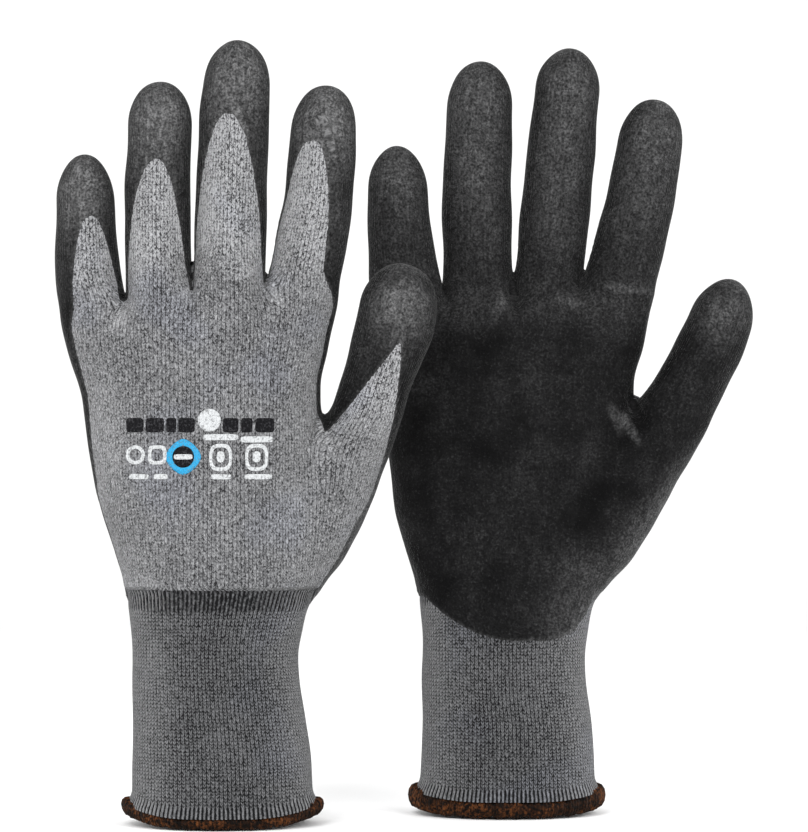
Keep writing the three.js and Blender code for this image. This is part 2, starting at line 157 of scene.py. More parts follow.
# The stations of a cuff and hand: (z, left edge, right edge, half-depth, p of the middle).
TRUNKS = {
    "left": [
        (0, -27, 32.6, 23.5, 0), (8, -27.4, 32.8, 23, 0), (25, -27.2, 31.7, 22, 0),
        (43, -27.2, 28.7, 20.8, 0), (57, -27.3, 27.4, 20.2, 0), (70, -28.2, 30.8, 20.8, 0),
        (77, -29.5, 34, 21, 0), (84, -31.3, 35.5, 20.9, 0.3), (93, -34.1, 35, 20.5, 0.5),
        (102, -36.8, 34.5, 20, 0.8), (111, -39.4, 34.5, 19.4, 1),
        (120, -40.6, 34.6, 18.8, 1.2), (129.5, -41.9, 34.8, 18, 1.5),
        (139, -43.3, 34.4, 16.8, 1.8), (148, -44.6, 34.9, 15.4, 2),
        (157, -46.8, 35.8, 13.8, 2), (166, -49.6, 36.8, 12, 2), (180, -52, 39, 10, 2),
    ],
    "right": [
        (0, -28.3, 31, 23.5, 0), (8, -28.4, 31.6, 23, 0), (17, -28, 31, 22.4, 0),
        (31, -27.5, 30.3, 21.6, 0), (40.5, -27.8, 28.6, 20.9, 0), (54.5, -27.5, 27.8, 20.2, 0),
        (64, -27.7, 29.2, 20.5, 0), (73, -28.4, 31.8, 20.9, 0), (83, -31.1, 35, 20.9, 0.3),
        (92, -33.7, 36, 20.5, 0.5), (101, -36, 38, 20, 0.8), (111, -37.4, 39.5, 19.4, 1),
        (120, -38.1, 41, 18.8, 1.2), (129, -38.7, 42.5, 18, 1.5),
        (138, -39.2, 43.5, 16.8, 1.8), (148, -39.5, 44, 15.4, 2), (157, -41.2, 45, 13.8, 2),
        (167, -43.5, 46.2, 12, 2), (181, -46, 49, 10, 2),
    ],
}

# A digit: the height of the point of its window, and its line's points, each
# (x, p, z, half-width, half-depth).
DIGITS = {
    "left": {
        "little": (198.4, [
            (-34, 2, 146, 10, 9.5), (-41.3, 4, 175, 11.1, 9.8), (-42.3, 4, 195, 9.9, 9.3),
            (-42.5, 3, 218.6, 8.7, 8.6),
        ]),
        "ring": (216.7, [
            (-17, 2, 150, 11.3, 10.4), (-18.2, 1, 176, 10.8, 10.2), (-18.8, 1, 204, 10.7, 9.8),
            (-17.2, 0, 242.3, 10, 9),
        ]),
        "middle": (231.2, [
            (4, 1.5, 152, 11.6, 10.6), (4.9, 0, 179, 11.9, 10.4), (5.8, 0, 212, 11.6, 10.2),
            (6.6, -0.5, 232, 11.4, 9.8), (8.2, -1, 255.4, 10.5, 9.3),
        ]),
        "index": (222.4, [
            (23, 2, 150, 11, 10.4), (28.7, 1.5, 176, 12, 10.3), (33.8, 1.5, 202, 11.3, 10),
            (36.8, 0, 241, 10.2, 9.2),
        ]),
        "thumb": (158.7, [
            (15, 3, 76, 12, 12.5), (28, 3.5, 93, 16, 15), (37.6, 3, 109.3, 14.5, 13),
            (44.9, 1.5, 122.3, 12.4, 12), (48.6, 1, 131, 11.4, 11.4),
            (53.4, 0, 146, 11.2, 10.8), (58.9, -1, 162, 12.9, 10.6),
            (62.5, -1, 182.6, 12.4, 10),
        ]),
    },
    "right": {
        "little": (203, [
            (-28, 2, 148, 10, 9.5), (-32.7, 4, 176, 12.1, 9.8), (-35.2, 4, 199.6, 10.3, 9.3),
            (-35.3, 4, 223.3, 9.3, 8.6),
        ]),
        "ring": (222, [
            (-8, 2, 152, 11.6, 10.4), (-8.3, 1, 179, 11.6, 10.2), (-8.8, 1, 206, 11.7, 9.8),
            (-7.2, 1, 251.7, 10.6, 9),
        ]),
        "middle": (232, [
            (13, 1.5, 152, 11.6, 10.6), (15.2, 0, 179, 11.4, 10.4), (18.4, 0, 209, 11.6, 10.2),
            (23, 0, 256.1, 10.5, 9.3),
        ]),
        "index": (222, [
            (32, 2, 152, 11.8, 10.4), (39.1, 1.5, 178, 12.1, 10.3), (45.4, 1.5, 202, 11.6, 10),
            (51.8, 1, 239, 10.2, 9.2),
        ]),
        "thumb": (160, [
            (15, 3, 76, 12, 12.5), (29.5, 4, 93, 16, 15), (40.6, 5, 109.3, 14.5, 13),
            (51.8, 5, 125, 12.6, 11.8), (62.6, 5, 143.4, 11.4, 10.8),
            (71.2, 5, 160.5, 10.9, 10.4), (77, 5, 178.4, 9.6, 9.4),
        ]),
    },
}
FINGERS = ["little", "ring", "middle", "index"]

# Creases: (side, x and z of one end, x and z of the other, width, height), where side is 1 on
# the palm and -1 on the back, and a negative height is a groove.
CREASES = {
    "left": [
        (-1, (-27, 168), (-33, 160), 3, 0.9),
        (-1, (-8, 175), (-13, 166), 3, 0.8),
        (-1, (17, 177), (21, 168), 2.4, 0.7),
        (-1, (13, 181), (8, 177), 2.2, 0.8),
        (-1, (20, 172), (33, 166), 3, 0.5),
        (-1, (36, 127), (32, 116), 3.5, 0.8),
        (-1, (6.7, 233.7), (11.8, 223), 1, 1.4),
        (-1, (35.4, 230.2), (39.4, 216), 1, 1.4),
        (-1, (35.2, 230.2), (31.4, 226.5), 1, 1.2),
    ],
    "right": [
        (1, (3, 177), (5, 167), 1.8, -1.3),
        (1, (0, 175), (-3, 166), 2.4, 0.7),
        (1, (17, 174), (27, 168), 3, 0.9),
        (1, (34, 176), (49, 174), 1.8, 0.8),
        (1, (34, 172), (48, 169), 2, -0.6),
        (1, (38, 135), (42, 129), 2.2, 0.9),
        (1, (35, 137), (39, 126), 1.8, 0.7),
        (1, (41, 131), (45, 123), 1.6, 0.7),
        (1, (42, 140), (47, 129), 1.6, -1.3),
        (1, (35, 143), (39, 138), 1.6, -0.7),
        (1, (-20, 174), (-21, 162), 2.2, -0.6),
    ],
}


# --- the field of a glove ---------------------------------------------------------------


def smoothstep(low, high, value):
    share = np.clip((value - low) / (high - low), 0, 1)
    return share * share * (3 - 2 * share)


def smooth_min(a, b, reach):
    share = np.clip(0.5 + 0.5 * (b - a) / reach, 0, 1)
    return b + (a - b) * share - reach * share * (1 - share)


def smooth_table(places, values, low, high, soft):
    """values at places as a fine table from low to high, with its corners rounded by soft."""
    step, reach = 0.5, 4 * soft
    fine = np.arange(low - 2 * reach, high + 2 * reach + step, step)
    table = np.interp(fine, places, values)
    for end, near in ((0, 1), (-1, -2)):  # beyond the ends the table runs on straight
        slope = (values[end] - values[near]) / (places[end] - places[near])
        beyond = fine < places[0] if end == 0 else fine > places[-1]
        table[beyond] = values[end] + (fine[beyond] - places[end]) * slope
    kernel = np.exp(-0.5 * (np.arange(-reach, reach + step / 2, step) / soft) ** 2)
    rounded = np.convolve(table, kernel / kernel.sum(), mode="valid")
    skip = len(kernel) // 2
    return fine[skip : len(fine) - skip], rounded


class Digit:
    """A digit as a tube along a curve, with coordinates along, across and round it."""

    def __init__(self, top, line, window, hinge):
        line = np.array(line, float)
        steps = np.linalg.norm(np.diff(line[:, :3], axis=0), axis=1)
        along = np.concatenate([[0], np.cumsum(steps)])
        self.length = along[-1]
        columns = [smooth_table(along, line[:, i], -20, self.length + 20, 4) for i in range(5)]
        self.s = columns[0][0]
        self.centre = np.stack([columns[i][1] for i in range(3)], axis=1)
        self.half_width, self.half_depth = columns[3][1], columns[4][1]
        tangent = np.gradient(self.centre, axis=0)
        self.tangent = tangent / np.linalg.norm(tangent, axis=1, keepdims=True)
        self.root_s = self.at_height(hinge) - ROOT_GAP
        self.top_s = self.at_height(top)
        self.window = window

    def at_height(self, z):
        return float(np.interp(z, self.centre[:, 2], self.s))

    def along(self, s, table):
        if table.ndim == 1:
            return np.interp(s, self.s, table)
        return np.stack([np.interp(s, self.s, table[:, i]) for i in range(3)], axis=-1)

    def coordinates(self, points):
        """Distances along, across and towards the palm from the curve, and the half-sizes."""
        s = np.interp(points[:, 2], self.centre[:, 2], self.s)
        for _ in range(3):
            offset = points - self.along(s, self.centre)
            s = s + np.sum(offset * self.along(s, self.tangent), axis=1)
        tangent = self.along(s, self.tangent)
        offset = points - self.along(s, self.centre)
        across = np.stack([tangent[:, 2], 0 * s, -tangent[:, 0]], axis=1)
        across /= np.linalg.norm(across, axis=1, keepdims=True)
        palmward = np.cross(tangent, across)
        sizes = self.along(s, self.half_width), self.along(s, self.half_depth)
        u, v = np.sum(offset * across, axis=1), np.sum(offset * palmward, axis=1)
        return s, u, v, sizes

    def field(self, points):
        """Roughly the distance outside the digit, negative inside it."""
        s, u, v, (a, b) = self.coordinates(points)
        tip = np.maximum(0, s - (self.length - CAP)) / CAP
        root = np.maximum(0, ROOT_FADE - s) / ROOT_CAP
        ends = tip**BLUNT + root**2
        steep = BLUNT / 2 * tip ** (BLUNT - 1) / CAP + root / ROOT_CAP
        size = np.sqrt((u / a) ** 2 + (v / b) ** 2 + ends)
        slope = np.sqrt((u / a**2) ** 2 + (v / b**2) ** 2 + steep**2)
        return size * (size - 1) / np.maximum(slope, 1e-6)

    def dip(self, points):
        """Distance inside the foam's edge on this digit: negative in the bare window."""
        s, u, v, (a, _) = self.coordinates(points)
        angle = np.degrees(np.arctan2(u, -v))
        turned = angle - self.window["turn"]
        below = self.top_s - s
        edge = np.zeros_like(s)
        for side, chosen in (("left", turned < 0), ("right", turned >= 0)):
            spread, power = self.window[side]
            reach = WINDOW_DEPTH * (np.abs(turned) / spread) ** (1 / power)
            slope = reach / power / np.maximum(np.radians(np.abs(turned)) * a, 0.1)
            edge = np.where(chosen, (reach - below) / np.sqrt(1 + slope**2), edge)
        sides = np.radians(np.abs(angle) - FOAM_SIDE) * a
        return np.maximum(edge, sides)


class Glove:
    """The field of one glove, with the place of its frame in the row's frame."""

    def __init__(self, name):
        spec = GLOVES[name]
        self.name, self.spec, self.palm = name, spec, spec["palm"]
        low, high = (np.array(corner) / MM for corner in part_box(f"{name}_cuff_hem"))
        middle = (low + high) / 2
        self.origin = np.array([middle[0] - spec["hem_x"], middle[1], 0])
        self.hem_half = (high[:2] - low[:2]) / 2
        heights, *columns = np.array(TRUNKS[name], float).T
        self.tables = [smooth_table(heights, column, 0, 180, 3) for column in columns]
        self.digits = {
            key: Digit(top, line, WINDOWS[key], HINGES[f"{name}_{key}"])
            for key, (top, line) in DIGITS[name].items()
        }

    def to_row(self, points):
        """Points of the glove's frame, in millimetres, as points of the row, in metres."""
        return (points * np.array([1, self.palm, 1]) + self.origin) * MM

    def trunk_size(self, z):
        left, right, depth, middle = (np.interp(z, *table) for table in self.tables)
        return (left + right) / 2, (right - left) / 2, depth, middle

    def trunk(self, points):
        x, p, z = points.T
        centre, a, b, middle = self.trunk_size(z)
        u = np.abs((x - centre) / a) + 1e-9
        v = np.abs((p - middle) / b) + 1e-9
        power = SQUARENESS
        size = (u**power + v**power) ** (1 / power)
        slope = np.hypot((u / size) ** (power - 1) / a, (v / size) ** (power - 1) / b)
        section = (size - 1) / slope
        top = z - (HAND_TOP + HAND_TOP_SLOPE * x)
        return -smooth_min(-section, -top, 9)

    def field(self, points):
        """Distance outside the glove. The fingers flow together less above their crotches."""
        digits = {key: digit.field(points) for key, digit in self.digits.items()}
        fingers = digits["little"]
        web = self.spec["web"]
        reach = 2.2 - 1.9 * smoothstep(web - 4, web + 4, points[:, 2])
        for key in FINGERS[1:]:
            fingers = smooth_min(fingers, digits[key], reach)
        whole = smooth_min(self.trunk(points), fingers, 6)
        return smooth_min(whole, digits["thumb"], 4.5)

    def creased(self, points):
        return self.field(points) - crease_heights(self, points)

    def normals(self, points, field):
        """The directions out of a field at points, and how steeply it grows there."""
        step = 0.35
        sides = [(field(points + step * axis), field(points - step * axis)) for axis in np.eye(3)]
        gradient = np.stack([(ahead - behind) / (2 * step) for ahead, behind in sides], axis=1)
        size = np.linalg.norm(gradient, axis=1, keepdims=True)
        return gradient / size, size[:, 0]

    def settle(self, points, rounds=2):
        """Points moved straight onto the surface."""
        for _ in range(rounds):
            normal, size = self.normals(points, self.field)
            points = points - normal * (self.field(points) / size)[:, None]
        return points

    def nearest_finger(self, points):
        fields = np.stack([self.digits[key].field(points) for key in FINGERS])
        return np.argmin(fields, axis=0)

    def on_thumb(self, points):
        """Whether points belong to the thumb, rather than to a finger or the hand."""
        thumb = self.digits["thumb"].field(points)
        fingers = np.min([self.digits[key].field(points) for key in FINGERS], axis=0)
        return (thumb < fingers) & (thumb < self.trunk(points) + 3)

    def beyond_roots(self, points):
        """For each digit, how far points lie past the line where its own piece starts."""
        nearest, thumb = self.nearest_finger(points), self.on_thumb(points)
        past = {}
        for key, digit in self.digits.items():
            mine = thumb if key == "thumb" else (nearest == FINGERS.index(key)) & ~thumb
            s = digit.coordinates(points)[0]
            past[key] = np.where(mine, s - digit.root_s, NO_DIGIT)
        return past

    def hand_dip(self, points):
        """Distance inside the foam's edge on the hand: along its two sides and over the cuff."""
        x, p, z = points.T
        outer = np.interp(z, [84, 104, 111, 125, 150, 175], [0, 1, -3.6, -4.5, -5, -4.5])
        inner = np.interp(z, [70, 76, 84, 125, 160], [0, -3, -3, -2.3, -2.4])
        change = np.interp(z, [150, 170], [0, -38])  # x at which outer hands over to inner
        side = p - (outer + (inner - outer) * smoothstep(-10, 10, x - change))
        little_side = x < PALM_MIDDLE
        span, power = np.where(little_side, 31.5, 27), np.where(little_side, 2, 5)
        share = np.minimum(np.abs(x - PALM_MIDDLE) / span, 0.97)
        slope = PALM_RISE * power / span * share
        lower = (z - PALM_EDGE - PALM_RISE * share**power) / np.sqrt(1 + slope**2)
        return np.minimum(side, lower)

    def dip(self, points):
        """Distance inside the foam's edge: negative on the bare knit."""
        x, _, z = points.T
        edge = self.hand_dip(points)
        nearest = self.nearest_finger(points)
        for i, key in enumerate(FINGERS):
            digit = self.digits[key]
            s = digit.coordinates(points)[0]
            share = smoothstep(-12, 1, s - digit.root_s) * (nearest == i)
            edge = edge + (digit.dip(points) - edge) * share
        thumb = self.digits["thumb"]
        s = thumb.coordinates(points)[0]
        others = [self.digits[key].field(points) for key in FINGERS] + [self.trunk(points)]
        proud = np.min(others, axis=0) - thumb.field(points)
        share = smoothstep(34, 52, s) * smoothstep(-1, 3, proud)
        edge = edge + (thumb.dip(points) - edge) * share
        ragged = np.sin(2.1 * x + 1.3 * np.sin(0.9 * z)) * np.sin(1.9 * z + 0.8 * np.sin(1.1 * x))
        return edge + 0.22 * ragged

    def stitches(self, points, past):
        """Each point's place in the knit, counted in columns across and in rows up."""
        x, p, z = points.T
        centre, a, b, middle = self.trunk_size(z)
        flat = x + np.clip((x - centre) / 10, -1, 1) * np.maximum(b - np.abs(p - middle), 0)
        column, row = flat / WALE, z / COURSE
        for key, digit in self.digits.items():
            s, u, v, (_, depth) = digit.coordinates(points)
            root = digit.along(np.array([digit.root_s]), digit.centre)[0]
            share = smoothstep(-25 if key == "thumb" else -14, 4, past[key])
            arc = root[0] + u + np.clip(u / 5, -1, 1) * np.maximum(depth - np.abs(v), 0)
            column = column + (arc / WALE - column) * share
            height = (s - digit.root_s + root[2]) / COURSE
            row = row + (height - row) * share
        return np.where(z < CUFF_TOP, self.cuff_column(points), column), row

    def cuff_column(self, points):
        """The column at each point of the cuff, where they are evenly spaced all the way round."""
        x, p, z = points.T
        centre, a, b, middle = self.trunk_size(z)
        angle = np.abs(np.arctan2((x - centre) / a, (p - middle) / b))
        fold = np.minimum(angle, math.pi - angle)
        table = np.linspace(0, math.pi / 2, 200)
        pace = np.hypot(CUFF_WIDTH * np.cos(table), CUFF_DEPTH * np.sin(table))
        length = np.concatenate([[0], np.cumsum((pace[1:] + pace[:-1]) / 2)])
        quarter = np.interp(fold, table, length / length[-1]) * CUFF_WALES / 4
        return np.sign(x - centre) * quarter


# --- mesh tools -------------------------------------------------------------------------


def crossed_cells(grid, value):
    """A point for each cell that the surface crosses, in the middle of the places where it
    crosses the cell's edges, and for every cell of the grid the index of its point."""
    shape = value.shape
    inside = value < 0
    cells = tuple(n - 1 for n in shape)
    total = np.zeros(cells + (3,))
    crossings = np.zeros(cells)
    for axis in range(3):
        first = [slice(0, n) for n in shape]
        second = [slice(0, n) for n in shape]
        first[axis], second[axis] = slice(0, -1), slice(1, None)
        a, b = value[tuple(first)], value[tuple(second)]
        cut = inside[tuple(first)] != inside[tuple(second)]
        share = np.where(cut, a / np.where(cut, a - b, 1), 0)
        place = grid[tuple(first)] + share[..., None] * CELL[axis] * np.eye(3)[axis]
        others = [i for i in range(3) if i != axis]
        for shift in ((0, 0), (0, 1), (1, 0), (1, 1)):
            part = [slice(None)] * 3
            for other, by in zip(others, shift):
                part[other] = slice(by, by + cells[other])
            part = tuple(part)
            total += np.where(cut[part][..., None], place[part], 0)
            crossings += cut[part]
    used = crossings > 0
    index = np.full(cells, -1)
    index[used] = np.arange(used.sum())
    return total[used] / crossings[used][:, None], index


def crossed_edges(inside, index):
    """A quad for each edge of the grid that crosses the surface, joining the cells round it."""
    shape = inside.shape
    quads = []
    for axis in range(3):
        others = [(axis + 1) % 3, (axis + 2) % 3]
        first = [slice(1, n - 1) for n in shape]
        second = [slice(1, n - 1) for n in shape]
        first[axis], second[axis] = slice(0, -1), slice(1, None)
        a, b = inside[tuple(first)], inside[tuple(second)]
        for cut, order in (((a & ~b), (0, 1, 2, 3)), ((~a & b), (3, 2, 1, 0))):
            at = np.argwhere(cut)
            for i in range(3):
                if i != axis:
                    at[:, i] += 1
            corners = []
            for shift in ((0, 0), (1, 0), (1, 1), (0, 1)):
                cell = at.copy()
                for other, by in zip(others, shift):
                    cell[:, other] += by - 1
                corners.append(index[tuple(cell.T)])
            quads.append(np.stack([corners[i] for i in order], axis=1))
    return np.concatenate(quads)


def surface_of(glove):
    """The glove's outer surface as points and quads, one point in each cell it crosses."""
    low, high = MESH_BOX
    counts = np.ceil((high - low) / CELL).astype(int)
    axes = [low[i] + CELL[i] * np.arange(counts[i] + 1) for i in range(3)]
    grid = np.stack(np.meshgrid(*axes, indexing="ij"), axis=-1)
    value = np.concatenate([glove.field(slab.reshape(-1, 3)) for slab in grid])
    value = value.reshape(grid.shape[:3])
    points, index = crossed_cells(grid, value)
    return points, crossed_edges(value < 0, index)


def clip(table, faces, name):
    """The part of a mesh where one of its values is above zero, cut along the zero line.

    table holds an array for each value that the points carry, and faces is an array of quads
    and one of triangles."""
    value = np.where(np.abs(table[name]) < SNAP, 0, table[name])
    whole, partly = [], []
    for group in faces:
        corner = value[group]
        above, below = (corner > 0).any(axis=1), (corner < 0).any(axis=1)
        whole.append(group[above & ~below])
        partly.append(group[above & below])
    quads, triangles = partly
    halves = [quads[:, [0, 1, 2]], quads[:, [0, 2, 3]], triangles]
    made, cut = {}, []

    def between(i, j):
        key = (min(i, j), max(i, j))
        return made.setdefault(key, len(value) + len(made))

    for triangle in np.concatenate(halves).tolist():
        polygon = []
        for i, j in zip(triangle, triangle[1:] + triangle[:1]):
            if value[i] >= 0:
                polygon.append(i)
            if value[i] * value[j] < 0:
                polygon.append(between(i, j))
        if any(value[i] > 0 for i in polygon if i < len(value)):
            cut += [(polygon[0], polygon[k], polygon[k + 1]) for k in range(1, len(polygon) - 1)]
    if made:
        first, second = np.array(list(made)).T
        share = value[first] / (value[first] - value[second])
        for key, carried in table.items():
            part = share if carried.ndim == 1 else share[:, None]
            new = carried[first] + (carried[second] - carried[first]) * part
            table = {**table, key: np.concatenate([carried, new])}
    if cut:
        whole[1] = np.concatenate([whole[1], np.array(cut)])
    used = np.unique(np.concatenate([group.ravel() for group in whole]))
    index = np.full(len(table[name]), -1)
    index[used] = np.arange(len(used))
    return {key: carried[used] for key, carried in table.items()}, [index[g] for g in whole]


def rim_of(faces):
    """The open edges of a mesh, each in the direction in which its face runs."""
    edges = np.concatenate(
        [np.stack([g, np.roll(g, -1, axis=1)], axis=2).reshape(-1, 2) for g in faces if len(g)]
    )
    size = edges.max() + 1
    forward = edges[:, 0] * size + edges[:, 1]
    backward = edges[:, 1] * size + edges[:, 0]
    return edges[~np.isin(forward, backward)]


def shell(outer, inner, faces):
    """A closed mesh between an outer and an inner copy of the same faces."""
    count = len(outer)
    rim = rim_of(faces)
    walls = np.stack([rim[:, 1], rim[:, 0], rim[:, 0] + count, rim[:, 1] + count], axis=1)
    quads, triangles = faces
    quads = np.concatenate([quads, quads[:, ::-1] + count, walls])
    triangles = np.concatenate([triangles, triangles[:, ::-1] + count])
    return np.concatenate([outer, inner]), [quads, triangles]


def make_object(name, points, faces, material, normals=None):
    """A Blender mesh from points in metres, smooth shaded."""
    mesh = bpy.data.meshes.new(name)
    lists = [face for group in faces for face in group.tolist()]
    mesh.from_pydata(points.tolist(), [], lists)
    mesh.update()
    mesh.polygons.foreach_set("use_smooth", [True] * len(mesh.polygons))
    mesh.materials.append(material)
    obj = bpy.data.objects.new(name, mesh)
    bpy.context.scene.collection.objects.link(obj)
    if normals is not None:
        mesh.normals_split_custom_set_from_vertices(normals.tolist())
    return obj


def store(obj, name, values):
    """Keeps a number or a vector for each of a mesh's points, for its material to read."""
    kind = "FLOAT_VECTOR" if values.ndim == 2 else "FLOAT"
    layer = obj.data.attributes.new(name, kind, "POINT")
    key = "vector" if values.ndim == 2 else "value"
    layer.data.foreach_set(key, values.astype(np.float32).ravel())


# --- pieces of a glove ------------------------------------------------------------------


def crease_heights(glove, points):
    """Folds and puckers that stand out of the smooth surface, and its slow unevenness."""
    x, p, z = points.T
    height = 0.2 * np.sin(0.21 * x + 0.12 * z + 1) * np.sin(0.11 * z - 0.16 * x + 0.2 * p)
    height += 0.12 * np.sin(0.37 * x - 0.2 * p) * np.sin(0.31 * z + 0.1 * x + 2)
    for side, start, end, width, tall in CREASES[glove.name]:
        start, run = np.array(start, float), np.subtract(end, start).astype(float)
        flat = points[:, [0, 2]] - start
        share = np.clip(flat @ run / (run @ run), 0, 1)
        gap = np.linalg.norm(flat - share[:, None] * run, axis=1)
        taper = np.sin(math.pi * (0.12 + 0.76 * share))
        height += tall * np.exp(-((gap / width) ** 2)) * taper * smoothstep(0, 4, side * p)
    return height


def hem_lift(glove, x):
    """How far the hem stands off the floor at x: its ends rise."""
    share = np.abs(x - glove.spec["hem_x"]) / glove.hem_half[0]
    rise = glove.spec["hem_rise"]
    return rise * (np.maximum(0, share - HEM_FLAT) / (1 - HEM_FLAT)) ** 2


def wear_and_painted_light(glove, points, normals, past, folds):
    """How much paler the foam is drawn: stretched thin or rubbed on fingers, tips and heel, with
    painted light on the digits' fronts and tips' tops and a painted highlight on folds.
    """
    x, p, z = points.T
    # painted light: the paleness of fingers and tips is strongest where the surface faces out of
    # the palm or back, and fades towards a digit's sides, as shading would
    painted_front_light = normals[:, 1] ** 2
    painted_front_light = np.where(past["thumb"] > 0, painted_front_light**2, painted_front_light)
    fingers = np.max([smoothstep(-20, 35, past[key]) for key in FINGERS], axis=0)
    fingers = np.maximum(fingers, 0.6 * smoothstep(0, 40, past["thumb"]))
    ends = {key: digit.length - digit.root_s for key, digit in glove.digits.items()}
    tips = np.max([smoothstep(ends[key] - 34, ends[key] - 8, past[key]) for key in ends], axis=0)
    # painted light: the very tops of the fingertips are drawn paler, as if lit from above
    lit_tip_tops = np.max([smoothstep(ends[key] - 5, ends[key], past[key]) for key in ends], axis=0)
    radial = smoothstep(0.15, 0.95, normals[:, 0]) * smoothstep(130, 98, z)
    heel = smoothstep(5, 30, x) * np.maximum(0.7 * smoothstep(98, 72, z), radial)
    knuckles = np.exp(-(((z - 170) / 9) ** 2)) * smoothstep(0, 5, p)
    tip_share = WEAR_AND_PAINTED_LIGHT["fingertips"] + WEAR_AND_PAINTED_LIGHT["fingertip_backs"] * smoothstep(4, -4, p)
    pale = (WEAR_AND_PAINTED_LIGHT["fingers"] * fingers + tip_share * tips) * painted_front_light
    pale = pale + WEAR_AND_PAINTED_LIGHT["lit_tip_tops"] * lit_tip_tops + WEAR_AND_PAINTED_LIGHT["heel"] * heel
    return pale + WEAR_AND_PAINTED_LIGHT["folds"] * folds + WEAR_AND_PAINTED_LIGHT["knuckles"] * knuckles


def glove_surface(glove):
    """The whole outer surface, with every value that its pieces are cut and drawn by."""
    raw, quads = surface_of(glove)
    points = glove.settle(raw)
    x, _, z = points.T
    past = glove.beyond_roots(points)
    normals, _ = glove.normals(points, glove.creased)
    column, row = glove.stitches(points, past)
    over_hem = z - (2 * HEM_RADIUS * glove.spec["hem_tall"] - HEM_TUCK + hem_lift(glove, x))
    raised = crease_heights(glove, points)
    # painted highlight: the tops of raised folds are drawn paler
    folds = np.clip(raised - 0.25, 0, 1)
    flare = FLARE * smoothstep(6, 0, over_hem) ** 2
    gather = smoothstep(CUFF_TOP - GATHERS - 0.6, CUFF_TOP - GATHERS + 0.6, z)
    table = {
        "points": points,
        "normals": normals,
        "raised": raised + flare,
        "edge": glove.dip(points),
        "column": column,
        "row": row,
        "digits": np.max([smoothstep(-12, 10, value) for value in past.values()], axis=0),
        "worn_and_lit": wear_and_painted_light(glove, points, normals, past, folds),
        "folds": folds,
        "gather": gather * (z < CUFF_TOP),
        "hemmed": smoothstep(4.2, 3.4, over_hem),
        "over_hem": over_hem,
        "cuff": CUFF_TOP - z,
        "hand": z - CUFF_TOP,
        "off_digits": -np.max(list(past.values()), axis=0),
        **past,
    }
    return table, [quads, np.zeros((0, 3), int)]


def skin_piece(name, glove, surface, cuts, layer, material):
    """One piece of the glove: the surface where all its cuts are above zero, as thin walls.

    layer gives, for the surface's table, how deep under it the piece's two faces lie."""
    table, faces = surface
    for cut in cuts:
        table, faces = clip(table, faces, cut)
    normals = table["normals"] / np.linalg.norm(table["normals"], axis=1, keepdims=True)
    top, bottom = layer(table)
    outer = table["points"] + normals * (table["raised"] - top)[:, None]
    inner = table["points"] + normals * (table["raised"] - bottom)[:, None]
    points, faces = shell(outer, inner, faces)
    both = np.concatenate([normals, -normals]) * np.array([1, glove.palm, 1])
    if glove.palm < 0:
        faces = [group[:, ::-1] for group in faces]
    obj = make_object(name, glove.to_row(points), faces, material, both)
    store(obj, "rest", glove.to_row(np.concatenate([table["points"]] * 2)))
    for key in ("edge", "column", "row", "digits", "worn_and_lit", "folds", "gather", "hemmed"):
        store(obj, key, np.concatenate([table[key]] * 2))
    return obj


def knit_layer(table):
    """The knit's depths. Above the cuff it stands a little proud, where the cuff is gathered."""
    hand = table["hand"]
    step = smoothstep(-1.2, 0, hand) * smoothstep(14, 1, hand)
    pinch = smoothstep(-GATHERS, -2, hand) * smoothstep(0.3, -0.3, hand)
    top = DIP - 0.35 * step + 0.35 * pinch
    return top, top + KNIT


def dip_layer(table):
    """The foam's depths: it thins out to its edge, and sinks a little into the knit."""
    grown = smoothstep(0, DIP_ROLL, table["edge"])
    top = (DIP - LAP) * (1 - grown)
    return top, np.full(len(top), DIP + LAP)


def ride_digit(obj, glove, digit):
    """Bakes a digit piece's transform into its mesh. The ends of the stretch over which the digit
    bends are worked out, but nothing uses them.
    """
    curve = glove.digits[digit]
    ends = curve.along(np.array([curve.root_s, curve.root_s + BEND]), curve.centre)
    start, end = (tuple(point) for point in glove.to_row(ends).tolist())
    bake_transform(obj)


def build_skin(glove, materials):
    """The knit and the foam of one glove: the hand's pieces ride on the hand, and the digits'
    pieces stay where they are made.
    """
    surface = glove_surface(glove)
    knit = knit_layer, "knit", "hand_knit"
    cuff = knit_layer, "cuff", "cuff_knit"
    dip = dip_layer, "dip", "foam_coating"
    pieces = [
        ("cuff_knit", cuff, ["cuff", "over_hem"], ["cuff", "wrist_elastic"], None),
        ("hand_knit", knit, ["hand", "off_digits"], ["hand_liner"], None),
        ("palm_dip", dip, ["off_digits", "edge"], ["palm_coating"], None),
    ]
    for key in glove.digits:
        nodes = [f"{key}_liner", f"{key}_flex_band"]
        pieces.append((f"{key}_knit", knit, [key], nodes, key))
        pieces.append((f"{key}_dip", dip, [key, "edge"], [f"{key}_coating"], key))
    for piece, (layer, material, slot), cuts, nodes, digit in pieces:
        name = f"{glove.name}_{piece}"
        obj = skin_piece(name, glove, surface, cuts, layer, materials[material])
        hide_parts(*[f"{glove.name}_{node}" for node in nodes])
        if digit is None:
            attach(obj, f"{glove.name}_hand")
        else:
            ride_digit(obj, glove, digit)


